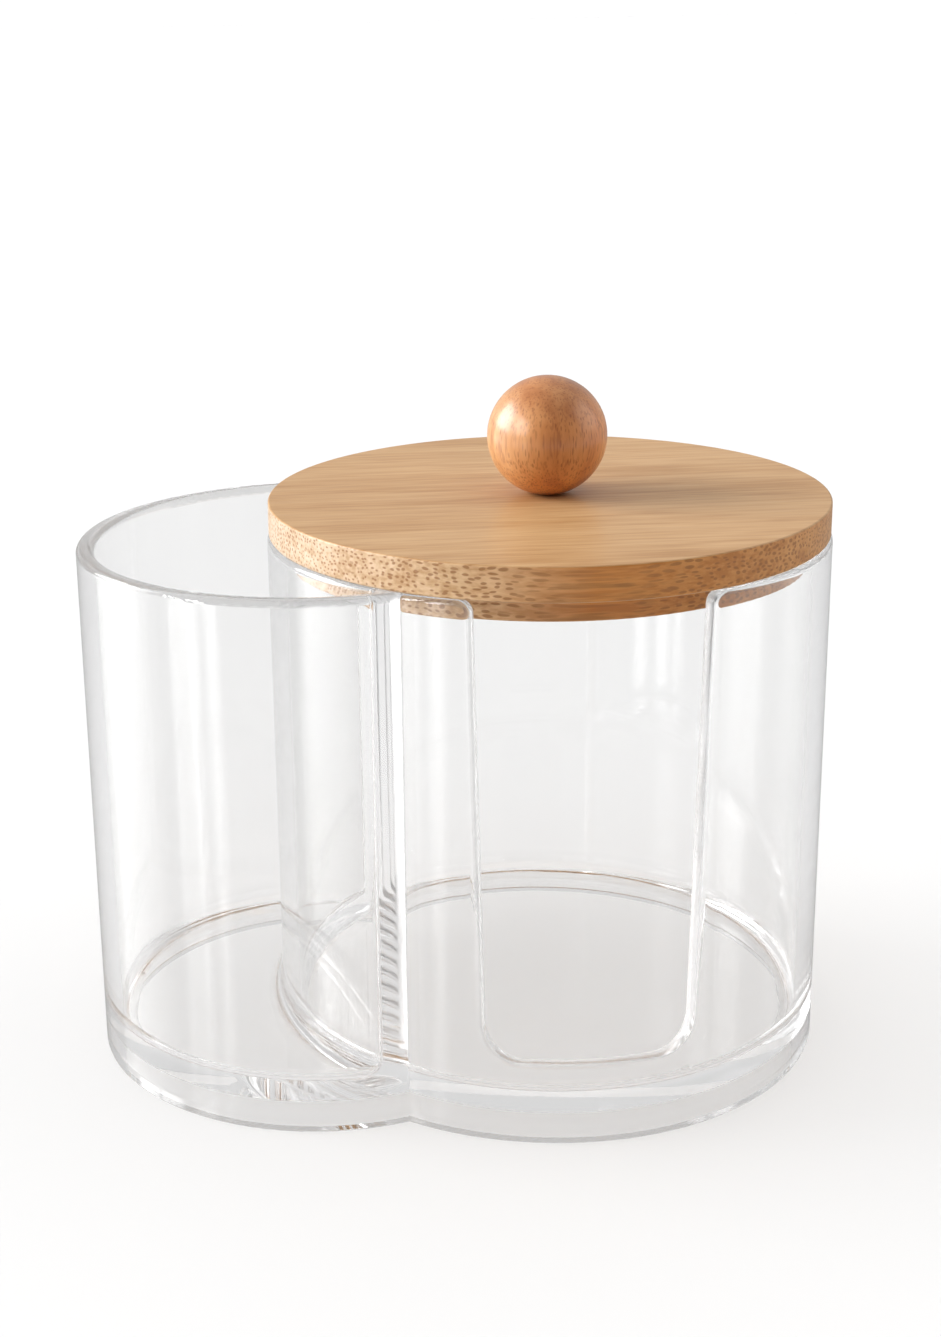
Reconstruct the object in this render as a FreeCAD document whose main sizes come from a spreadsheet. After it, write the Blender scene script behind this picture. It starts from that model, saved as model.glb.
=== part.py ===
import FreeCAD, Part
import Sketcher
import math
import os
from FreeCAD import Vector

# Cotton swab holder: one clear moulding with two joined round cups, a round
# bamboo lid with a stepped underside, a wooden ball knob and the screw that
# holds the knob from below.  Millimetres, +Z up, the table at Z = 0.  The two
# cups stand in a row along X, the lidded one at +X; its front slot faces -Y.
# The origin is under the middle of the moulding's footprint.

doc = FreeCAD.newDocument("swab_holder")

# ------------------------------------------------------------ dimensions
sheet = doc.addObject("Spreadsheet::Sheet", "Dimensions")
ROWS = [
    # clear moulding
    ("rim_height", 95.6, "height of both rims above the table"),
    ("wall", 3.2, "wall of the moulding"),
    ("cup_radius", 50.3, "outer radius of the lidded cup"),
    ("side_radius", 42.2, "outer radius of the open side cup"),
    ("cup_x", 16.95, "axis of the lidded cup, from the origin along X"),
    ("side_x", 25.05, "axis of the open cup, from the origin along -X"),
    ("cup_inner", 47.1, "inner radius of the lidded cup"),
    ("side_inner", 39.0, "inner radius of the open cup"),
    ("floor_top", 7.9, "upper face of the floor"),
    ("foot_depth", 4.8, "height of the hollow under the floor"),
    ("inner_corner", 1.35, "corner between the divider and the open cup wall"),
    ("groove_round", 0.45, "outer groove where the two walls meet"),
    ("rim_round_out", 1.3, "rounding of the rim, outer side"),
    ("rim_round_in", 1.5, "rounding of the rim, inner side"),
    ("foot_round", 0.35, "rounding of the bottom outer edge"),
    ("floor_round", 3.2, "rounding between floor and inner wall"),
    # front slot of the lidded cup
    ("slot_floor", 14.9, "height of the slot's lower edge"),
    ("slot_near_y", 43.0, "inner plane of the slot cut, from the origin along -Y"),
    ("slot_far_y", 55.0, "outer plane of the slot cut, from the origin along -Y"),
    ("slot_top_z", 104.0, "upper end of the cut, above the rim"),
    ("slot_near_half", 18.39, "half width at the upper end, inner plane"),
    ("slot_far_half", 23.19, "half width at the upper end, outer plane"),
    ("slot_lean", 88.55, "side lines of the slot against its lower edge, degrees"),
    ("slot_corner", 6.8, "lower corners of the slot"),
    ("slot_shoulder", 2.6, "rounding where the slot meets the rim"),
    # lid
    ("lid_radius", 50.0, "radius of the lid"),
    ("lid_thick", 6.0, "thickness of the lid outside the step"),
    ("plug_radius", 45.8, "radius of the stepped underside"),
    ("plug_depth", 4.3, "height of the stepped underside"),
    ("lid_round", 0.35, "rounding of the lid's upper edge"),
    ("lid_ease", 0.35, "eased lower edges of the lid"),
    ("screw_way", 2.1, "radius of the hole for the screw"),
    ("sink_radius", 3.7, "radius of the countersink at the underside"),
    ("sink_land", 0.2, "straight part of the countersink"),
    # knob
    ("knob_radius", 10.65, "radius of the ball"),
    ("knob_flat", 0.25, "height cut off the ball to seat it"),
    ("pilot_radius", 1.45, "radius of the pilot hole in the ball"),
    ("pilot_depth", 13.0, "depth of the pilot hole from the flat"),
    # screw
    ("screw_core", 1.3, "core radius of the thread"),
    ("screw_crest", 1.75, "crest radius of the thread"),
    ("screw_pitch", 1.4, "pitch of the thread"),
    ("thread_start", 9.2, "height where the thread begins, from the head's face"),
    ("screw_shank", 1.6, "radius of the plain part of the screw"),
    ("screw_head", 3.6, "radius of the countersunk head"),
    ("head_land", 0.3, "straight rim of the head; its cone stands at 45 degrees"),
    ("screw_length", 20.0, "length of the screw over all"),
    ("recess_arm", 1.9, "reach of the cross recess"),
    ("recess_width", 0.9, "width of the cross recess"),
    ("recess_depth", 1.3, "depth of the cross recess"),
]
VAL = {}
for i, (alias, value, words) in enumerate(ROWS, start=1):
    sheet.set("A%d" % i, words)
    sheet.set("B%d" % i, str(value))
    sheet.setAlias("B%d" % i, alias)
    VAL[alias] = value
doc.recompute()


def v(name):
    return VAL[name]


def ex(text):
    """Spreadsheet expression: every alias written as #alias."""
    out = text
    for name in sorted(VAL, key=len, reverse=True):
        out = out.replace("#" + name + ";", "Dimensions." + name)
    return out


def plane(body, role):
    return [f for f in body.Origin.OriginFeatures if f.Role == role][0]


def new_sketch(body, name, role, lift=None):
    s = body.newObject("Sketcher::SketchObject", name)
    s.AttachmentSupport = [(plane(body, role), "")]
    s.MapMode = "FlatFace"
    if lift:
        s.setExpression("AttachmentOffset.Base.z", ex(lift))
    return s


def rule(s, constraint, expression=None, name=None):
    i = s.addConstraint(constraint)
    if expression:
        s.setExpression("Constraints[%d]" % i, ex(expression))
    return i


C = Sketcher.Constraint


def new_body(label):
    b = doc.addObject("PartDesign::Body", label)
    b.Label = label
    return b


def arc(cx, cy, r, a0, a1):
    """Arc counter-clockwise from angle a0 to a1, radians."""
    return Part.ArcOfCircle(Part.Circle(Vector(cx, cy, 0), Vector(0, 0, 1), r), a0, a1)


def place_centre(s, geo, x_expr, x_val):
    """Arc or circle centre on the sketch's X axis at the given distance."""
    rule(s, C("PointOnObject", geo, 3, -1))
    if x_val < 0:
        rule(s, C("DistanceX", geo, 3, -1, 1, abs(x_val)), x_expr)
    else:
        rule(s, C("DistanceX", -1, 1, geo, 3, abs(x_val)), x_expr)


def cross(r1, r2, dist):
    """Angles at which two circles on one axis meet, seen from each centre."""
    a = (r1 * r1 - r2 * r2 + dist * dist) / (2 * dist)
    return math.acos(a / r1), math.acos((dist - a) / r2)


def figure_eight(s, big, small, big_x, small_x):
    """Outline of two merged circles: big at +X, small at -X."""
    R, L = v(big), v(small)
    t, u = cross(R, L, v(big_x) + v(small_x))
    g0 = s.addGeometry(arc(v(big_x), 0, R, -math.pi + t, math.pi - t))
    g1 = s.addGeometry(arc(-v(small_x), 0, L, u, 2 * math.pi - u))
    rule(s, C("Coincident", g0, 2, g1, 1))
    rule(s, C("Coincident", g1, 2, g0, 1))
    place_centre(s, g0, "#%s;" % big_x, v(big_x))
    place_centre(s, g1, "#%s;" % small_x, -v(small_x))
    rule(s, C("Radius", g0, R), "#%s;" % big)
    rule(s, C("Radius", g1, L), "#%s;" % small)


def pad(body, name, s, length, down=False):
    f = body.newObject("PartDesign::Pad", name)
    f.Profile = s
    f.setExpression("Length", ex(length))
    f.Reversed = down
    s.Visibility = False
    doc.recompute()
    return f


def pocket(body, name, s, length, up=False):
    f = body.newObject("PartDesign::Pocket", name)
    f.Profile = s
    f.setExpression("Length", ex(length))
    f.Reversed = up
    s.Visibility = False
    doc.recompute()
    return f


def edges_where(feature, test):
    return ["Edge%d" % (i + 1) for i, e in enumerate(feature.Shape.Edges) if test(e)]


def fillet(body, name, base, edges, radius):
    if not edges:
        raise RuntimeError("no edges for " + name)
    f = body.newObject("PartDesign::Fillet", name)
    f.Base = (base, edges)
    f.setExpression("Radius", ex(radius))
    doc.recompute()
    if "Invalid" in f.State or "Error" in f.State or not f.Shape.isValid():
        raise RuntimeError("fillet failed: " + name)
    return f


def removed(name, before, after, least):
    """A cut that points away from the solid removes nothing and says nothing."""
    gone = before - after
    if gone < least:
        raise RuntimeError("%s removed only %.1f mm3" % (name, gone))


def at(e, z, tol=1e-4):
    b = e.BoundBox
    return abs(b.ZMin - z) < tol and abs(b.ZMax - z) < tol


# ------------------------------------------------------- clear moulding
cups = new_body("clear_cups")

s = new_sketch(cups, "cups_outline", "XY_Plane")
figure_eight(s, "cup_radius", "side_radius", "cup_x", "side_x")
doc.recompute()
block = pad(cups, "cups_block", s, "#rim_height;")
volume = block.Shape.Volume

# inside of the lidded cup
s = new_sketch(cups, "cup_inside", "XY_Plane", "#rim_height;")
g = s.addGeometry(Part.Circle(Vector(v("cup_x"), 0, 0), Vector(0, 0, 1), v("cup_inner")))
place_centre(s, g, "#cup_x;", v("cup_x"))
rule(s, C("Radius", g, v("cup_inner")), "#cup_inner;")
doc.recompute()
cut = pocket(cups, "cup_hollow", s, "#rim_height; - #floor_top;")
removed("cup_hollow", volume, cut.Shape.Volume, 500000)
volume = cut.Shape.Volume

# inside of the open cup: its own inner circle, the outside of the lidded cup
# as the divider, and two small corner arcs between them
s = new_sketch(cups, "side_inside", "XY_Plane", "#rim_height;")
R, L, k = v("cup_radius"), v("side_inner"), v("inner_corner")
dist = v("cup_x") + v("side_x")
# centre of a corner arc: R + k from the lidded cup's axis, L - k from the open one's
t = math.acos(((R + k) ** 2 - (L - k) ** 2 + dist * dist) / (2 * dist * (R + k)))
u = math.acos((dist * dist + (L - k) ** 2 - (R + k) ** 2) / (2 * dist * (L - k)))
kx, ky = v("cup_x") - (R + k) * math.cos(t), (R + k) * math.sin(t)
g0 = s.addGeometry(arc(-v("side_x"), 0, L, u, 2 * math.pi - u))
g1 = s.addGeometry(arc(v("cup_x"), 0, R, math.pi - t, math.pi + t))
g2 = s.addGeometry(arc(kx, ky, k, -t, u))
g3 = s.addGeometry(arc(kx, -ky, k, -u, t))
rule(s, C("Tangent", g0, 1, g2, 2))
rule(s, C("Tangent", g2, 1, g1, 1))
rule(s, C("Tangent", g1, 2, g3, 2))
rule(s, C("Tangent", g3, 1, g0, 2))
place_centre(s, g0, "#side_x;", -v("side_x"))
place_centre(s, g1, "#cup_x;", v("cup_x"))
rule(s, C("Radius", g0, L), "#side_inner;")
rule(s, C("Radius", g1, R), "#cup_radius;")
rule(s, C("Radius", g2, k), "#inner_corner;")
rule(s, C("Radius", g3, k), "#inner_corner;")
doc.recompute()
cut = pocket(cups, "side_hollow", s, "#rim_height; - #floor_top;")
removed("side_hollow", volume, cut.Shape.Volume, 100000)
volume = cut.Shape.Volume

# hollow under the floor, inside the foot ring
s = new_sketch(cups, "foot_inside", "XY_Plane")
figure_eight(s, "cup_inner", "side_inner", "cup_x", "side_x")
doc.recompute()
cut = pocket(cups, "foot_hollow", s, "#foot_depth;", up=True)
removed("foot_hollow", volume, cut.Shape.Volume, 20000)
volume = cut.Shape.Volume

# front slot, open at the rim: wider outside than inside, so its side faces
# stand square to the curved wall


def slot_profile(name, y, half):
    s = new_sketch(cups, name, "XZ_Plane", "#%s;" % y)
    zt, zb, hw, r = v("slot_top_z"), v("slot_floor"), v(half), v("slot_corner")
    a = math.radians(90 - v("slot_lean"))
    hb = hw - (zt - zb) * math.tan(a)
    x = v("cup_x")
    d = r * math.tan((math.pi / 2 - a) / 2)
    cx, cz = hb - d, zb + r
    px, pz = hb + d * math.sin(a), zb + d * math.cos(a)
    top = s.addGeometry(Part.LineSegment(Vector(x - hw, zt, 0), Vector(x + hw, zt, 0)))
    right = s.addGeometry(Part.LineSegment(Vector(x + px, pz, 0), Vector(x + hw, zt, 0)))
    ar = s.addGeometry(arc(x + cx, cz, r, -math.pi / 2, -a))
    low = s.addGeometry(Part.LineSegment(Vector(x - cx, zb, 0), Vector(x + cx, zb, 0)))
    al = s.addGeometry(arc(x - cx, cz, r, math.pi + a, 1.5 * math.pi))
    left = s.addGeometry(Part.LineSegment(Vector(x - px, pz, 0), Vector(x - hw, zt, 0)))
    rule(s, C("Coincident", top, 2, right, 2))
    rule(s, C("Coincident", left, 2, top, 1))
    rule(s, C("Tangent", ar, 2, right, 1))
    rule(s, C("Tangent", ar, 1, low, 2))
    rule(s, C("Tangent", al, 2, low, 1))
    rule(s, C("Tangent", al, 1, left, 1))
    rule(s, C("Horizontal", top))
    rule(s, C("Horizontal", low))
    rule(s, C("Equal", ar, al))
    rule(s, C("Radius", ar, r), "#slot_corner;")
    rule(s, C("DistanceX", -1, 1, top, 1, x - hw), "#cup_x; - #%s;" % half)
    rule(s, C("DistanceX", -1, 1, top, 2, x + hw), "#cup_x; + #%s;" % half)
    rule(s, C("DistanceY", -1, 1, top, 1, zt), "#slot_top_z;")
    rule(s, C("DistanceY", -1, 1, low, 1, zb), "#slot_floor;")
    rule(s, C("Angle", right, math.pi / 2 - a), "#slot_lean;")
    rule(s, C("Equal", left, right))
    return s


near = slot_profile("slot_inner_line", "slot_near_y", "slot_near_half")
far = slot_profile("slot_outer_line", "slot_far_y", "slot_far_half")
doc.recompute()
slot = cups.newObject("PartDesign::SubtractiveLoft", "slot_cut")
slot.Profile = near
slot.Sections = [far]
slot.Ruled = True
near.Visibility = False
far.Visibility = False
doc.recompute()
removed("slot_cut", volume, slot.Shape.Volume, 5000)
volume = slot.Shape.Volume

X0 = v("cup_x")
TOP = v("rim_height")


def rad(p, x):
    return math.hypot(p.x - x, p.y)


def in_front(p):
    return p.y < -30 and abs(p.x - X0) < 26


def mid(e):
    return e.valueAt((e.FirstParameter + e.LastParameter) / 2)


# shoulders of the slot at the rim
base = fillet(
    cups, "slot_shoulders", slot,
    edges_where(slot, lambda e: at(e, TOP) and in_front(mid(e)) and 45 < rad(mid(e), X0) < 52
                and e.Length < 6),
    "#slot_shoulder;")

# the outer groove between the two cups
base = fillet(
    cups, "groove_rounds", base,
    edges_where(base, lambda e: e.BoundBox.ZLength > 80 and abs(e.BoundBox.YLength) < 0.01
                and mid(e).x < 0 and abs(rad(mid(e), X0) - v("cup_radius")) < 0.01
                and abs(rad(mid(e), -v("side_x")) - v("side_radius")) < 0.01),
    "#groove_round;")


def outer_rim(e):
    m = mid(e)
    if in_front(m) and abs(rad(m, X0) - v("cup_radius")) < 0.02 and m.z > 13:
        return True
    return at(e, TOP) and (abs(rad(m, X0) - v("cup_radius")) < 0.02 and m.x > -25
                           and (m.x > -14 or abs(m.y) > 36)
                           or abs(rad(m, -v("side_x")) - v("side_radius")) < 0.02)


base = fillet(cups, "rim_outer_rounds", base, edges_where(base, outer_rim), "#rim_round_out;")


def inner_rim(e):
    m = mid(e)
    if abs(rad(m, X0) - v("cup_inner")) < 0.02 and m.z > 13:
        return True
    return False


base = fillet(cups, "rim_inner_rounds", base, edges_where(base, inner_rim), "#rim_round_in;")


def side_rim(e):
    return at(e, TOP) and mid(e).x < 5 and rad(mid(e), -v("side_x")) < v("side_radius") - 2


base = fillet(cups, "side_rim_rounds", base, edges_where(base, side_rim), "#rim_round_in;")

base = fillet(cups, "floor_rounds", base,
              edges_where(base, lambda e: at(e, v("floor_top"))), "#floor_round;")

base = fillet(
    cups, "foot_rounds", base,
    edges_where(base, lambda e: at(e, 0) and (
        abs(rad(mid(e), X0) - v("cup_radius")) < 0.6 and mid(e).x > -20
        or abs(rad(mid(e), -v("side_x")) - v("side_radius")) < 0.6 and mid(e).x < -13)),
    "#foot_round;")

# ------------------------------------------------------------------- lid
def outline(s, points):
    """Closed outline of straight lines; every corner held by its own two sizes.
    A point is (x, x expression, y, y expression); an expression of None puts
    the point on that axis of the sketch."""
    n = len(points)
    for k in range(n):
        a, b = points[k], points[(k + 1) % n]
        s.addGeometry(Part.LineSegment(Vector(a[0], a[2], 0), Vector(b[0], b[2], 0)))
    for k in range(n):
        rule(s, C("Coincident", (k - 1) % n, 2, k, 1))
    for k, (x, xe, y, ye) in enumerate(points):
        if xe is None:
            rule(s, C("PointOnObject", k, 1, -2))
        elif x < 0:
            rule(s, C("DistanceX", k, 1, -1, 1, -x), xe)
        else:
            rule(s, C("DistanceX", -1, 1, k, 1, x), xe)
        if ye is None:
            rule(s, C("PointOnObject", k, 1, -1))
        elif y < 0:
            rule(s, C("DistanceY", k, 1, -1, 1, -y), ye)
        else:
            rule(s, C("DistanceY", -1, 1, k, 1, y), ye)


def round_sketch(body, name, radius):
    s = new_sketch(body, name, "XY_Plane")
    g = s.addGeometry(Part.Circle(Vector(0, 0, 0), Vector(0, 0, 1), v(radius)))
    rule(s, C("Coincident", g, 3, -1, 1))
    rule(s, C("Radius", g, v(radius)), "#%s;" % radius)
    doc.recompute()
    return s


def seat(body, height):
    """Put a body's own origin on the lidded cup's axis at the given height."""
    body.setExpression("Placement.Base.x", ex("#cup_x;"))
    body.setExpression("Placement.Base.z", ex(height))
    doc.recompute()


def circles_at(feature, z, r):
    """Round edges of the feature at a height and radius about the body's own axis."""
    return edges_where(feature, lambda e: at(e, z) and abs(math.hypot(mid(e).x, mid(e).y) - r) < 0.01)


# the lid's own origin is the centre of its seat on the rim
lid = new_body("lid")
s = round_sketch(lid, "lid_disc_line", "lid_radius")
disc = pad(lid, "lid_disc", s, "#lid_thick;")
s = round_sketch(lid, "plug_line", "plug_radius")
base = pad(lid, "lid_step", s, "#plug_depth;", down=True)
volume = base.Shape.Volume

s = new_sketch(lid, "screw_way_line", "XZ_Plane")
zu, zt = -v("plug_depth"), v("lid_thick")
r0, r1, z1 = v("screw_way"), v("sink_radius"), zu + v("sink_land")
z2 = z1 + r1 - r0
outline(s, [
    (0, None, zu, "#plug_depth;"),
    (r1, "#sink_radius;", zu, "#plug_depth;"),
    (r1, "#sink_radius;", z1, "#plug_depth; - #sink_land;"),
    (r0, "#screw_way;", z2, "#plug_depth; - #sink_land; - (#sink_radius; - #screw_way;)"),
    (r0, "#screw_way;", zt, "#lid_thick;"),
    (0, None, zt, "#lid_thick;"),
])
doc.recompute()
hole = lid.newObject("PartDesign::Groove", "screw_way_cut")
hole.Profile = s
hole.ReferenceAxis = (s, ["V_Axis"])
hole.Angle = 360
s.Visibility = False
doc.recompute()
removed("screw_way_cut", volume, hole.Shape.Volume, 100)
base = fillet(lid, "lid_top_round", hole, circles_at(hole, v("lid_thick"), v("lid_radius")), "#lid_round;")
base = fillet(lid, "lid_lower_ease", base, circles_at(base, 0, v("lid_radius")), "#lid_ease;")
base = fillet(lid, "plug_ease", base, circles_at(base, -v("plug_depth"), v("plug_radius")), "#lid_ease;")
seat(lid, "#rim_height;")

# ------------------------------------------------------------------ knob
# the ball's own origin is the middle of its flat, on top of the lid
knob = new_body("knob")
s = new_sketch(knob, "knob_line", "XZ_Plane")
R, zc = v("knob_radius"), v("knob_radius") - v("knob_flat")
rf = math.sqrt(R * R - zc * zc)
rp, zp = v("pilot_radius"), v("pilot_depth")
ball = s.addGeometry(arc(0, zc, R, -math.asin(zc / R), math.pi / 2))
axis = s.addGeometry(Part.LineSegment(Vector(0, zc + R, 0), Vector(0, zp, 0)))
tip = s.addGeometry(Part.LineSegment(Vector(0, zp, 0), Vector(rp, zp - rp, 0)))
bore = s.addGeometry(Part.LineSegment(Vector(rp, zp - rp, 0), Vector(rp, 0, 0)))
flat = s.addGeometry(Part.LineSegment(Vector(rp, 0, 0), Vector(rf, 0, 0)))
rule(s, C("Coincident", ball, 2, axis, 1))
rule(s, C("Coincident", axis, 2, tip, 1))
rule(s, C("Coincident", tip, 2, bore, 1))
rule(s, C("Coincident", bore, 2, flat, 1))
rule(s, C("Coincident", flat, 2, ball, 1))
rule(s, C("PointOnObject", ball, 3, -2))
rule(s, C("PointOnObject", axis, 1, -2))
rule(s, C("PointOnObject", axis, 2, -2))
rule(s, C("PointOnObject", flat, 1, -1))
rule(s, C("PointOnObject", flat, 2, -1))
rule(s, C("Vertical", bore))
rule(s, C("Radius", ball, R), "#knob_radius;")
rule(s, C("DistanceY", -1, 1, ball, 3, zc), "#knob_radius; - #knob_flat;")
rule(s, C("DistanceY", -1, 1, axis, 2, zp), "#pilot_depth;")
rule(s, C("DistanceX", -1, 1, bore, 2, rp), "#pilot_radius;")
rule(s, C("DistanceY", -1, 1, bore, 1, zp - rp), "#pilot_depth; - #pilot_radius;")
doc.recompute()
turned = knob.newObject("PartDesign::Revolution", "knob_ball")
turned.Profile = s
turned.ReferenceAxis = (s, ["V_Axis"])
turned.Angle = 360
s.Visibility = False
doc.recompute()
seat(knob, "#rim_height; + #lid_thick;")

# ----------------------------------------------------------------- screw
# the screw's own origin is the middle of its head's face, level with the
# underside of the lid
screw = new_body("knob_screw")
s = new_sketch(screw, "screw_line", "XZ_Plane")
rh, rs, rc, rt = v("screw_head"), v("screw_shank"), v("screw_core"), v("screw_crest")
land, start, pitch, end = v("head_land"), v("thread_start"), v("screw_pitch"), v("screw_length")
points = [
    (0, None, 0, None),
    (rh, "#screw_head;", 0, None),
    (rh, "#screw_head;", land, "#head_land;"),
    (rs, "#screw_shank;", land + rh - rs, "#head_land; + #screw_head; - #screw_shank;"),
    (rs, "#screw_shank;", start, "#thread_start;"),
]
turns = 6
for k in range(turns):
    zk = start + pitch * (k + 0.25)
    points.append((rc, "#screw_core;", zk, "#thread_start; + %g * #screw_pitch;" % (k + 0.25)))
    points.append((rt, "#screw_crest;", start + pitch * (k + 0.75),
                   "#thread_start; + %g * #screw_pitch;" % (k + 0.75)))
points.append((rc, "#screw_core;", start + pitch * (turns + 0.25),
               "#thread_start; + %g * #screw_pitch;" % (turns + 0.25)))
points.append((0, None, end, "#screw_length;"))
outline(s, points)
doc.recompute()
shank = screw.newObject("PartDesign::Revolution", "screw_turned")
shank.Profile = s
shank.ReferenceAxis = (s, ["V_Axis"])
shank.Angle = 360
s.Visibility = False
doc.recompute()
volume = shank.Shape.Volume

s = new_sketch(screw, "recess_line", "XY_Plane")
A, W = v("recess_arm"), v("recess_width") / 2
arm, half = "#recess_arm;", "#recess_width; / 2"
outline(s, [
    (A, arm, -W, half), (A, arm, W, half), (W, half, W, half), (W, half, A, arm),
    (-W, half, A, arm), (-W, half, W, half), (-A, arm, W, half), (-A, arm, -W, half),
    (-W, half, -W, half), (-W, half, -A, arm), (W, half, -A, arm), (W, half, -W, half),
])
doc.recompute()
cross_cut = pocket(screw, "screw_recess", s, "#recess_depth;", up=True)
removed("screw_recess", volume, cross_cut.Shape.Volume, 3)
seat(screw, "#rim_height; - #plug_depth;")

# ---------------------------------------------------------------- output
doc.recompute()
for o in doc.Objects:
    if "Invalid" in o.State or "Error" in o.State:
        raise RuntimeError("%s: %s" % (o.Name, o.State))
os.makedirs("parts", exist_ok=True)
for body in (cups, lid, knob, screw):
    shape = body.Shape
    if shape.isNull() or not shape.isValid() or len(shape.Solids) != 1:
        raise RuntimeError("bad solid: " + body.Label)
    shape.exportStep("parts/%s.step" % body.Label)
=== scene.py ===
import math

import bpy
from mathutils import Matrix, Vector

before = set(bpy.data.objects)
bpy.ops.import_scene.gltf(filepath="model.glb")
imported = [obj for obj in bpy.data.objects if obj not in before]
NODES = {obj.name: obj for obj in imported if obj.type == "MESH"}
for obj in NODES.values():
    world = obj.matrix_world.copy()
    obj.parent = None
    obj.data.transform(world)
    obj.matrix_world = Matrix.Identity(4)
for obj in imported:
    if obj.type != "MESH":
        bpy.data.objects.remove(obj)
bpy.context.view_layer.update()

sc = bpy.context.scene

# ------------------------------------------------------------------ camera
cam_data = bpy.data.cameras.new("photo_camera")
cam = bpy.data.objects.new("photo_camera", cam_data)
sc.collection.objects.link(cam)
cam_data.sensor_fit = "AUTO"
cam_data.sensor_width = 36.0
cam_data.lens = 53.768
cam_data.shift_x = 0.07373
cam_data.shift_y = -0.03974
cam_data.clip_start = 0.01
cam_data.clip_end = 60.0
right = Vector((0.9971081, -0.0731104, -0.0207455))
up = Vector((0.0410474, 0.2883682, 0.9566394))
ahead = Vector((0.0639579, 0.9547244, -0.2905352))
cam.matrix_world = Matrix.Translation(Vector((-0.038065, -0.345572, 0.185045))) @ Matrix(
    (right, up, -ahead)).transposed().to_4x4()
sc.camera = cam

sc.view_settings.view_transform = "Standard"
sc.view_settings.look = "None"
sc.view_settings.exposure = 0.0
sc.cycles.max_bounces = 64
sc.cycles.transmission_bounces = 64
sc.cycles.transparent_max_bounces = 64
sc.cycles.glossy_bounces = 64
sc.cycles.diffuse_bounces = 4
sc.cycles.caustics_reflective = False
sc.cycles.caustics_refractive = False
sc.cycles.blur_glossy = 0.3
sc.cycles.sample_clamp_indirect = 20.0


# ------------------------------------------------------------------- nodes
class Tree:
    """Short names for building a node tree."""

    def __init__(self, tree):
        self.t = tree
        tree.nodes.clear()

    def n(self, kind, **settings):
        node = self.t.nodes.new(kind)
        for k, val in settings.items():
            setattr(node, k, val)
        return node

    def link(self, a, b):
        self.t.links.new(a, b)

    def put(self, socket, value):
        if isinstance(value, bpy.types.NodeSocket):
            self.t.links.new(value, socket)
        else:
            socket.default_value = value

    def math(self, op, a, b=None, c=None, clamp=False):
        node = self.n("ShaderNodeMath", operation=op, use_clamp=clamp)
        for i, x in enumerate((a, b, c)):
            if x is not None:
                self.put(node.inputs[i], x)
        return node.outputs[0]

    def step(self, value, lo, hi, out_lo=0.0, out_hi=1.0, smooth=True):
        node = self.n("ShaderNodeMapRange")
        node.interpolation_type = "SMOOTHSTEP" if smooth else "LINEAR"
        node.clamp = True
        self.put(node.inputs["Value"], value)
        self.put(node.inputs["From Min"], lo)
        self.put(node.inputs["From Max"], hi)
        self.put(node.inputs["To Min"], out_lo)
        self.put(node.inputs["To Max"], out_hi)
        return node.outputs[0]

    def mix(self, factor, a, b, blend="MIX"):
        node = self.n("ShaderNodeMix", data_type="RGBA", blend_type=blend)
        self.put(node.inputs[0], factor)
        self.put(node.inputs[6], a)
        self.put(node.inputs[7], b)
        return node.outputs[2]

    def mapping(self, vector, scale=(1, 1, 1), location=(0, 0, 0), rotation=(0, 0, 0)):
        node = self.n("ShaderNodeMapping")
        self.link(vector, node.inputs["Vector"])
        node.inputs["Scale"].default_value = scale
        node.inputs["Location"].default_value = location
        node.inputs["Rotation"].default_value = rotation
        return node.outputs[0]

    def noise(self, vector, scale, detail=2.0, rough=0.5, distortion=0.0):
        node = self.n("ShaderNodeTexNoise")
        self.link(vector, node.inputs["Vector"])
        node.inputs["Scale"].default_value = scale
        node.inputs["Detail"].default_value = detail
        node.inputs["Roughness"].default_value = rough
        node.inputs["Distortion"].default_value = distortion
        return node.outputs["Fac"]

    def voronoi(self, vector, scale, randomness=1.0, feature="F1", out="Distance"):
        node = self.n("ShaderNodeTexVoronoi", feature=feature)
        self.link(vector, node.inputs["Vector"])
        node.inputs["Scale"].default_value = scale
        node.inputs["Randomness"].default_value = randomness
        return node.outputs[out]

    def ramp(self, value, stops):
        node = self.n("ShaderNodeValToRGB")
        self.put(node.inputs[0], value)
        e = node.color_ramp.elements
        while len(e) < len(stops):
            e.new(0.5)
        for el, (pos, colour) in zip(e, stops):
            el.position = pos
            el.color = (*colour, 1.0)
        return node.outputs[0]


def srgb(r, g, b):
    def f(c):
        c /= 255.0
        return c / 12.92 if c <= 0.04045 else ((c + 0.055) / 1.055) ** 2.4
    return (f(r), f(g), f(b), 1.0)


def material(name):
    m = bpy.data.materials.new(name)
    m.use_nodes = True
    return m, Tree(m.node_tree)


# ------------------------------------------------------------------- world
world = bpy.data.worlds.new("studio")
sc.world = world
world.use_nodes = True
w = Tree(world.node_tree)
coord = w.n("ShaderNodeTexCoord").outputs["Generated"]
sep = w.n("ShaderNodeSeparateXYZ")
w.link(coord, sep.inputs[0])
X, Y, Z = sep.outputs
elev = w.math("ARCSINE", Z)                       # radians
azim = w.math("ARCTAN2", Y, X)                    # 0 = +X, pi/2 = behind the object
D = math.radians
HAZE, HAZE_ROUGH = 0.27, 0.16
KEY, SECOND = 16.5, 7.0                           # window strengths
MIRROR_BACK, MIRROR_FRONT = 0.40, 0.12
MIRROR_KEY, MIRROR_STRIPS = 8.5, 16.0
THROUGH_HIGH, THROUGH_LOW, THROUGH_PANES = 0.79, 1.0, 0.3


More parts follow.
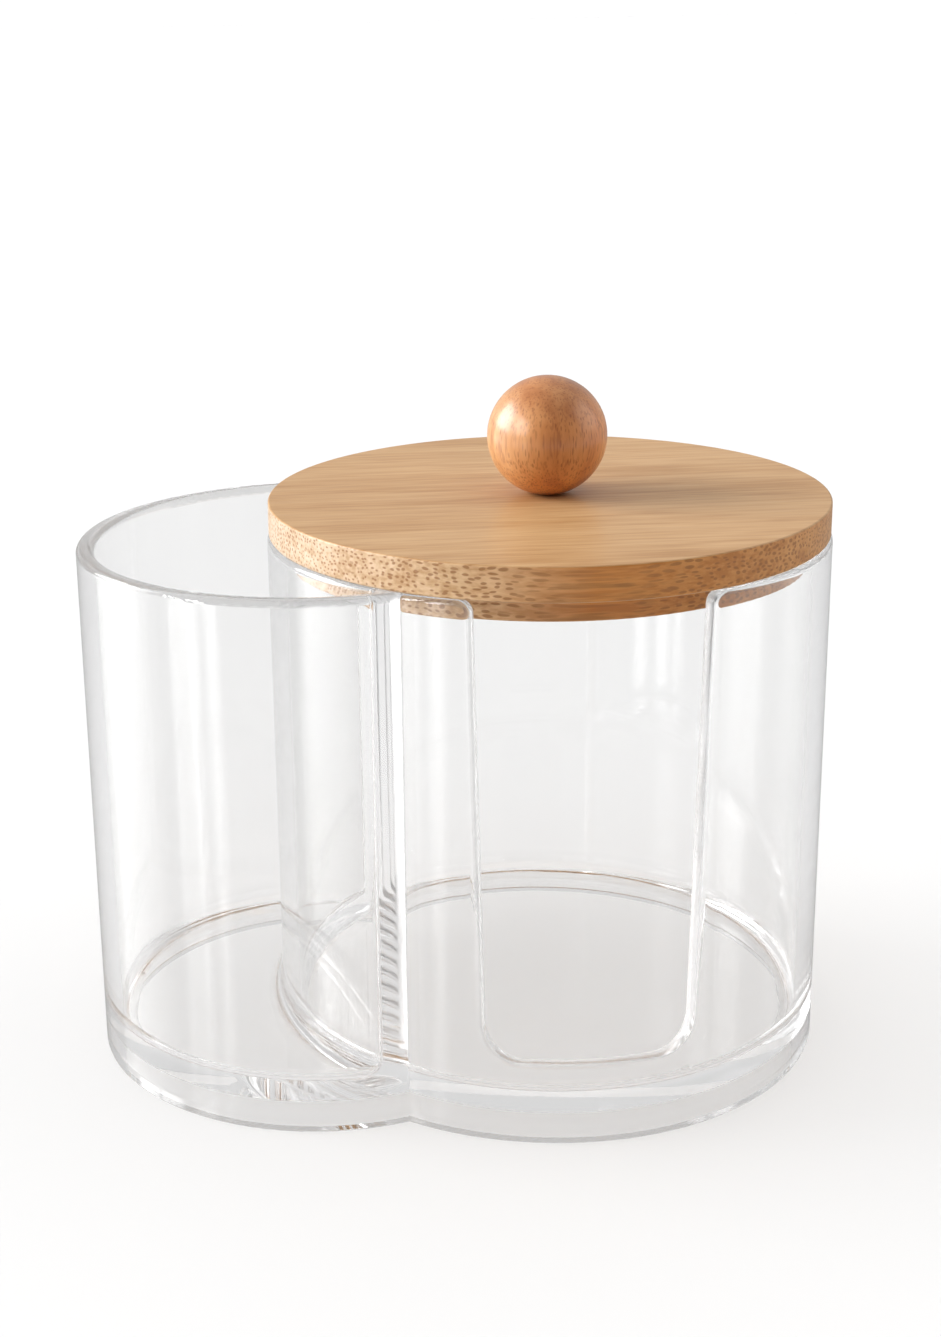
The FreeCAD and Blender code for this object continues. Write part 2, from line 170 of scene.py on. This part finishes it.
def window(azimuth, elevation, half_w, half_h, soft):
    """Soft rectangle on the studio's dome, 1 inside."""
    da = w.math("SUBTRACT", azim, D(azimuth))
    da = w.math("ARCTAN2", w.math("SINE", da), w.math("COSINE", da))
    a = w.step(w.math("ABSOLUTE", da), D(half_w + soft), D(half_w - soft))
    e = w.step(w.math("ABSOLUTE", w.math("SUBTRACT", elev, D(elevation))), D(half_h + soft), D(half_h - soft))
    return w.math("MULTIPLY", a, e)


back = w.step(Y, -0.45, 0.55)                     # 0 on the camera's side, 1 behind
low = w.step(Z, 0.24, 0.10)                       # 1 near the horizon
sky = w.math("ADD", 0.13, w.math("MULTIPLY", back, 0.87))
top = w.step(Z, 0.45, 0.95)
sky = w.math("ADD", sky, w.math("MULTIPLY", top, w.math("SUBTRACT", 1.0, sky)))
key = window(166, 21, 17, 15, 2.5)
bars = w.math("SUBTRACT", 1.0, w.math("MULTIPLY", 0.85, window(166, 21, 1.0, 20, 0.6)))
key = w.math("MULTIPLY", key, bars)
second = window(200, 22, 6, 12, 2.5)
fill = window(-4, 24, 24, 20, 8)
panes = w.math("ADD", w.math("MULTIPLY", key, KEY), w.math("MULTIPLY", second, SECOND))
light = w.math("ADD", w.math("ADD", sky, panes), w.math("MULTIPLY", fill, 1.5))
path = w.n("ShaderNodeLightPath")


def over(base, other, factor):
    """base where factor is 0, other where it is 1."""
    return w.math("ADD", w.math("MULTIPLY", base, w.math("SUBTRACT", 1.0, factor)), w.math("MULTIPLY", other, factor))


# what shows in reflections: the same windows in a dimmer room
mirror = w.math("MULTIPLY_ADD", back, MIRROR_BACK, MIRROR_FRONT)
edge = w.math("MULTIPLY_ADD", w.step(w.math("COSINE", w.math("SUBTRACT", azim, D(150))), 0.88, 0.98), 0.55, 0.45)
strips = w.math("ADD", window(196, 22, 2.0, 14, 0.8), w.math("ADD", window(204.5, 22, 3.0, 14, 0.8), w.math("MULTIPLY", window(216, 20, 3.0, 12, 1.5), 0.8)))
mirror = w.math("ADD", mirror, w.math("MULTIPLY", fill, 1.2))
mirror = w.math("ADD", mirror, w.math("MULTIPLY", w.math("MULTIPLY", window(161, 21, 20, 15, 2.0), edge), MIRROR_KEY))
mirror = w.math("ADD", mirror, w.math("MULTIPLY", strips, MIRROR_STRIPS))
reflected = w.math("MULTIPLY", path.outputs["Is Glossy Ray"], path.outputs["Is Reflection Ray"])
light = over(light, mirror, reflected)
# what is seen through clear walls: a pale room all round
clear = over(THROUGH_HIGH, THROUGH_LOW, low)
clear = w.math("ADD", clear, w.math("MULTIPLY", w.math("MINIMUM", path.outputs["Glossy Depth"], 1.0), w.math("MULTIPLY", panes, THROUGH_PANES)))
light = over(light, clear, path.outputs["Is Transmission Ray"])
light = over(light, 1.02, path.outputs["Is Camera Ray"])
bg = w.n("ShaderNodeBackground")
w.link(light, bg.inputs["Strength"])
bg.inputs["Color"].default_value = (1.0, 1.0, 1.0, 1.0)
out = w.n("ShaderNodeOutputWorld")
w.link(bg.outputs[0], out.inputs[0])
world.cycles.sampling_method = "MANUAL"
world.cycles.sample_map_resolution = 1024

# ------------------------------------------------------------------- floor
mesh = bpy.data.meshes.new("floor")
R = 30.0
seg = 96
verts = [(0, 0, 0)] + [(R * math.cos(2 * math.pi * i / seg), R * math.sin(2 * math.pi * i / seg), 0) for i in range(seg)]
faces = [(0, i + 1, (i + 1) % seg + 1) for i in range(seg)]
mesh.from_pydata(verts, [], faces)
floor = bpy.data.objects.new("floor", mesh)
floor.location = (0.0, 0.0, -0.0003)
sc.collection.objects.link(floor)
m, t = material("white_table")
diff = t.n("ShaderNodeBsdfDiffuse")
diff.inputs["Color"].default_value = (0.725, 0.725, 0.725, 1.0)
# in reflections the table has painted shade behind the object and painted light in front of it, and mirrors the windows
dark = t.n("ShaderNodeBsdfDiffuse")
geo = t.n("ShaderNodeTexCoord")
fl = t.n("ShaderNodeSeparateXYZ")
t.link(geo.outputs["Object"], fl.inputs[0])
t.link(t.mix(t.step(fl.outputs[1], -0.02, -0.14), (0.28, 0.28, 0.28, 1.0), (0.75, 0.75, 0.75, 1.0)), dark.inputs["Color"])
gloss = t.n("ShaderNodeBsdfGlossy")
gloss.inputs["Roughness"].default_value = 0.11
fres = t.n("ShaderNodeFresnel")
fres.inputs["IOR"].default_value = 1.5
table = t.n("ShaderNodeMixShader")
t.link(fres.outputs[0], table.inputs[0])
t.link(dark.outputs[0], table.inputs[1])
t.link(gloss.outputs[0], table.inputs[2])
lp = t.n("ShaderNodeLightPath")
polished = t.n("ShaderNodeMixShader")
t.link(t.math("MULTIPLY", fres.outputs[0], t.math("MULTIPLY", lp.outputs["Is Transmission Ray"],
       t.math("MINIMUM", lp.outputs["Glossy Depth"], 1.0))), polished.inputs[0])
t.link(diff.outputs[0], polished.inputs[1])
t.link(gloss.outputs[0], polished.inputs[2])
mx = t.n("ShaderNodeMixShader")
t.link(t.math("MULTIPLY", lp.outputs["Is Glossy Ray"], lp.outputs["Is Reflection Ray"]), mx.inputs[0])
t.link(polished.outputs[0], mx.inputs[1])
t.link(table.outputs[0], mx.inputs[2])
o = t.n("ShaderNodeOutputMaterial")
t.link(mx.outputs[0], o.inputs[0])
mesh.materials.append(m)

# ----------------------------------------------------------- clear plastic
# polished walls; the top rim and the cut edge of the slot are a little hazy
m, t = material("clear_plastic")
tc = t.n("ShaderNodeTexCoord")
at = t.n("ShaderNodeSeparateXYZ")
t.link(tc.outputs["Object"], at.inputs[0])
nv = t.n("ShaderNodeSeparateXYZ")
t.link(tc.outputs["Normal"], nv.inputs[0])
rim = t.math("MULTIPLY", t.step(nv.outputs[2], 0.10, 0.40), t.step(at.outputs[2], 0.0930, 0.0936))
rx = t.math("SUBTRACT", at.outputs[0], 0.01695)
ry = at.outputs[1]
rr = t.math("SQRT", t.math("ADD", t.math("MULTIPLY", rx, rx), t.math("MULTIPLY", ry, ry)))
radial = t.math("DIVIDE", t.math("ADD", t.math("MULTIPLY", rx, nv.outputs[0]), t.math("MULTIPLY", ry, nv.outputs[1])), rr)
cut = t.step(t.math("ABSOLUTE", radial), 0.85, 0.65)
cut = t.math("MULTIPLY", cut, t.step(at.outputs[2], 0.0130, 0.0136))
cut = t.math("MULTIPLY", cut, t.step(at.outputs[1], -0.0350, -0.0356))
cut = t.math("MULTIPLY", cut, t.step(at.outputs[0], -0.0075, -0.0065))
cut = t.math("MULTIPLY", cut, t.math("SUBTRACT", 1.0, rim))
haze = t.math("MAXIMUM", t.math("MULTIPLY", rim, 0.22), cut)
# the inside of the thick corners where the two cups meet is a little wavy
lx = t.math("ADD", at.outputs[0], 0.02505)
left = t.math("ADD", t.math("MULTIPLY", lx, nv.outputs[0]), t.math("MULTIPLY", ry, nv.outputs[1]))
inner = t.math("MAXIMUM", t.step(radial, -0.2, -0.4), t.step(left, -0.008, -0.016))
jx = t.math("ADD", at.outputs[0], 0.01297)
jy = t.math("SUBTRACT", t.math("ABSOLUTE", ry), 0.0376)
jd = t.math("SQRT", t.math("ADD", t.math("MULTIPLY", jx, jx), t.math("MULTIPLY", jy, jy)))
corner = t.math("MULTIPLY", inner, t.step(jd, 0.0078, 0.0056))
p = t.n("ShaderNodeBsdfPrincipled")
flat = t.math("MULTIPLY", t.step(t.math("ABSOLUTE", nv.outputs[2]), 0.3, 0.7), t.step(at.outputs[2], 0.0095, 0.0085))
# painted shade: the back walls (+Y) and the foot ring are tinted darker than the front walls, though the plastic is the
# same all round
tint = t.mix(t.step(ry, -0.012, 0.012), (0.985, 0.984, 0.983, 1.0), (0.868, 0.867, 0.866, 1.0))
tint = t.mix(t.step(at.outputs[2], 0.0095, 0.0085), tint, (0.880, 0.879, 0.878, 1.0))
tint = t.mix(flat, tint, (0.960, 0.959, 0.958, 1.0))
tint = t.mix(cut, tint, (0.84, 0.84, 0.84, 1.0))
t.link(t.mix(rim, tint, (0.60, 0.60, 0.60, 1.0)), p.inputs["Base Color"])
t.link(t.math("MAXIMUM", t.math("MULTIPLY", haze, HAZE_ROUGH), t.math("MULTIPLY", corner, 0.20)), p.inputs["Roughness"])
p.inputs["IOR"].default_value = 1.49
t.link(t.math("SUBTRACT", 1.0, t.math("MULTIPLY", haze, HAZE)), p.inputs["Transmission Weight"])
tr = t.n("ShaderNodeBsdfTransparent")
tr.inputs["Color"].default_value = (0.955, 0.955, 0.955, 1.0)
lp = t.n("ShaderNodeLightPath")
mx = t.n("ShaderNodeMixShader")
t.link(t.math("MAXIMUM", lp.outputs["Is Shadow Ray"], lp.outputs["Is Diffuse Ray"]), mx.inputs[0])
t.link(p.outputs[0], mx.inputs[1])
t.link(tr.outputs[0], mx.inputs[2])
o = t.n("ShaderNodeOutputMaterial")
t.link(mx.outputs[0], o.inputs[0])
CLEAR = m


def coat_with(name, mat):
    ob = NODES[name]
    ob.data.materials.clear()
    ob.data.materials.append(mat)


coat_with("clear_cups", CLEAR)

# ------------------------------------------------------------------ bamboo
m, t = material("bamboo")
tc = t.n("ShaderNodeTexCoord")
pos = tc.outputs["Object"]
at = t.n("ShaderNodeSeparateXYZ")
t.link(pos, at.inputs[0])
nrm = t.n("ShaderNodeSeparateXYZ")
t.link(tc.outputs["Normal"], nrm.inputs[0])
ax = t.math("ABSOLUTE", nrm.outputs[0])
az = t.math("ABSOLUTE", nrm.outputs[2])
# glued strips, long soft bands and fine fibre lines, all drawn out along X
strip = t.n("ShaderNodeTexWhiteNoise", noise_dimensions="1D")
t.link(t.math("FLOOR", t.math("MULTIPLY_ADD", at.outputs[1], 1 / 0.0185, 7.35)), strip.inputs["W"])
band = t.noise(t.mapping(pos, scale=(9, 130, 130)), 1.0, detail=3.0, rough=0.55)
streak = t.noise(t.mapping(pos, scale=(42, 620, 620)), 1.0, detail=2.5, rough=0.65)
fibre = t.noise(t.mapping(pos, scale=(80, 1900, 1900)), 1.0, detail=2.0, rough=0.6)
tone = t.math("ADD", t.math("MULTIPLY", band, 0.26), t.math("ADD", t.math("MULTIPLY", streak, 0.44), t.math("MULTIPLY", fibre, 0.30)))
tone = t.math("MULTIPLY_ADD", strip.outputs["Value"], 0.05, t.math("SUBTRACT", tone, 0.025))
base = t.ramp(tone, [(0.40, (0.395, 0.205, 0.076)), (0.49, (0.475, 0.272, 0.118)), (0.59, (0.540, 0.330, 0.158))])
# the cut ends are paler; the -X end is made far paler and whiter than the +X end, which is painted light where the key
# window falls; the outer skin at the front is richer
side_tint_and_painted_light = t.ramp(t.math("MULTIPLY_ADD", nrm.outputs[0], 0.5, 0.5),
              [(0.0, (0.373, 0.477, 0.740)), (0.28, (0.420, 0.467, 0.570)), (0.50, (0.380, 0.255, 0.120)),
               (0.80, (0.330, 0.245, 0.145)), (0.98, (0.362, 0.305, 0.235))])
side_colour_and_painted_light = t.mix(1.0, base, t.mix(1.0, side_tint_and_painted_light, (3.0, 3.0, 3.0, 1.0), blend="MULTIPLY"), blend="MULTIPLY")
side = t.step(az, 0.8, 0.3)
base = t.mix(side, base, side_colour_and_painted_light)
# fibre bundles run along X: dots in the end grain, dashes and streaks where the side turns
wn = t.n("ShaderNodeTexNoise")
t.link(t.mapping(pos, scale=(45, 260, 260)), wn.inputs["Vector"])
wn.inputs["Scale"].default_value = 1.0
cells = t.n("ShaderNodeCombineXYZ")
t.link(t.math("MULTIPLY", at.outputs[1], 1280.0), cells.inputs[0])
t.link(t.math("MULTIPLY", at.outputs[2], 1280.0), cells.inputs[1])
warp = t.n("ShaderNodeVectorMath", operation="MULTIPLY_ADD")
t.link(wn.outputs["Color"], warp.inputs[0])
warp.inputs[1].default_value = (2.4, 2.4, 0.0)
t.link(cells.outputs[0], warp.inputs[2])
vor = t.n("ShaderNodeTexVoronoi", feature="F1", voronoi_dimensions="2D")
t.link(warp.outputs[0], vor.inputs["Vector"])
vor.inputs["Scale"].default_value = 1.0
vor.inputs["Randomness"].default_value = 0.75
size = t.step(t.noise(t.mapping(pos, scale=(25, 210, 210)), 1.0, detail=1.0), 0.32, 0.62, 0.22, 0.31)
dot = t.step(t.math("SUBTRACT", vor.outputs["Distance"], size), 0.07, -0.07)
keep = t.step(vor.outputs["Color"], 0.12, 0.30)
dot = t.math("MULTIPLY", dot, keep)
strength = t.math("MULTIPLY", side, t.step(ax, 0.06, 0.34, 0.30, 0.72))
dot = t.math("MULTIPLY", dot, t.math("ADD", strength, t.math("MULTIPLY", t.math("SUBTRACT", 1.0, side), 0.10)))
col = t.mix(dot, base, (0.245, 0.095, 0.024, 1.0))
grainy = t.math("MULTIPLY", t.math("MULTIPLY", side, t.step(ax, 0.34, 0.12)), t.step(streak, 0.50, 0.62, 0.0, 0.60))
col = t.mix(grainy, col, (0.27, 0.105, 0.022, 1.0))
p = t.n("ShaderNodeBsdfPrincipled")
p.inputs["Specular IOR Level"].default_value = 0.30
p.inputs["Coat Weight"].default_value = 0.20
p.inputs["Coat Roughness"].default_value = 0.22
t.link(col, p.inputs["Base Color"])
t.put(p.inputs["Roughness"], t.step(fibre, 0.3, 0.7, 0.42, 0.54))
bump = t.n("ShaderNodeBump")
bump.inputs["Strength"].default_value = 0.2
bump.inputs["Distance"].default_value = 0.0001
t.link(t.math("SUBTRACT", fibre, t.math("MULTIPLY", dot, 0.8)), bump.inputs["Height"])
t.link(bump.outputs[0], p.inputs["Normal"])
o = t.n("ShaderNodeOutputMaterial")
t.link(p.outputs[0], o.inputs[0])
coat_with("lid", m)

# -------------------------------------------------------------- knob wood
m, t = material("knob_wood")
tc = t.n("ShaderNodeTexCoord")
pos = tc.outputs["Object"]
band = t.noise(t.mapping(pos, scale=(300, 300, 50)), 1.0, detail=3.0, rough=0.6)
fleck = t.voronoi(t.mapping(pos, scale=(1900, 1900, 330)), 1.0, randomness=1.0)
fl = t.step(fleck, 0.36, 0.18)
line = t.step(t.noise(t.mapping(pos, scale=(2600, 2600, 160)), 1.0, detail=1.0), 0.52, 0.66)
base = t.ramp(band, [(0.30, (0.470, 0.165, 0.048)), (0.5, (0.580, 0.230, 0.072)), (0.7, (0.660, 0.295, 0.105))])
kn = t.n("ShaderNodeSeparateXYZ")
t.link(tc.outputs["Normal"], kn.inputs[0])
# painted shade darkens the top of the ball and painted light lightens its underside
base = t.mix(t.step(kn.outputs[2], 0.15, 0.95), base, t.mix(1.0, base, (0.80, 0.78, 0.76, 1.0), blend="MULTIPLY"))
base = t.mix(t.step(kn.outputs[2], -0.15, -0.9), base, t.mix(1.0, base, (1.18, 1.12, 1.0, 1.0), blend="MULTIPLY"))
# painted light, matched to the lit ball: paler towards -X, where the key window falls, and a little lighter towards +X,
# where the fill falls
base = t.mix(t.step(kn.outputs[0], -0.25, -0.95), base, t.mix(1.0, base, (1.10, 1.48, 2.05, 1.0), blend="MULTIPLY"))
base = t.mix(t.step(kn.outputs[0], 0.35, 0.95), base, t.mix(1.0, base, (1.18, 1.14, 0.98, 1.0), blend="MULTIPLY"))
col = t.mix(t.math("MULTIPLY", fl, 0.50), base, (0.26, 0.078, 0.022, 1.0))
col = t.mix(t.math("MULTIPLY", line, 0.34), col, (0.25, 0.075, 0.024, 1.0))
p = t.n("ShaderNodeBsdfPrincipled")
p.inputs["Specular IOR Level"].default_value = 0.42
p.inputs["Coat Weight"].default_value = 0.60
p.inputs["Coat Roughness"].default_value = 0.20
t.link(col, p.inputs["Base Color"])
t.put(p.inputs["Roughness"], t.step(band, 0.3, 0.7, 0.36, 0.48))
bump = t.n("ShaderNodeBump")
bump.inputs["Strength"].default_value = 0.15
bump.inputs["Distance"].default_value = 0.00008
bump.invert = True
t.link(fl, bump.inputs["Height"])
t.link(bump.outputs[0], p.inputs["Normal"])
o = t.n("ShaderNodeOutputMaterial")
t.link(p.outputs[0], o.inputs[0])
coat_with("knob", m)

# ------------------------------------------------------------------ screw
m, t = material("screw_steel")
tc = t.n("ShaderNodeTexCoord")
pos = tc.outputs["Object"]
p = t.n("ShaderNodeBsdfPrincipled")
scratch = t.noise(t.mapping(pos, scale=(900, 900, 3000)), 1.0, detail=2.0)
t.link(t.mix(scratch, (0.52, 0.52, 0.54, 1), (0.74, 0.74, 0.75, 1)), p.inputs["Base Color"])
p.inputs["Metallic"].default_value = 1.0
t.put(p.inputs["Roughness"], t.step(scratch, 0.3, 0.7, 0.24, 0.4))
o = t.n("ShaderNodeOutputMaterial")
t.link(p.outputs[0], o.inputs[0])
coat_with("knob_screw", m)
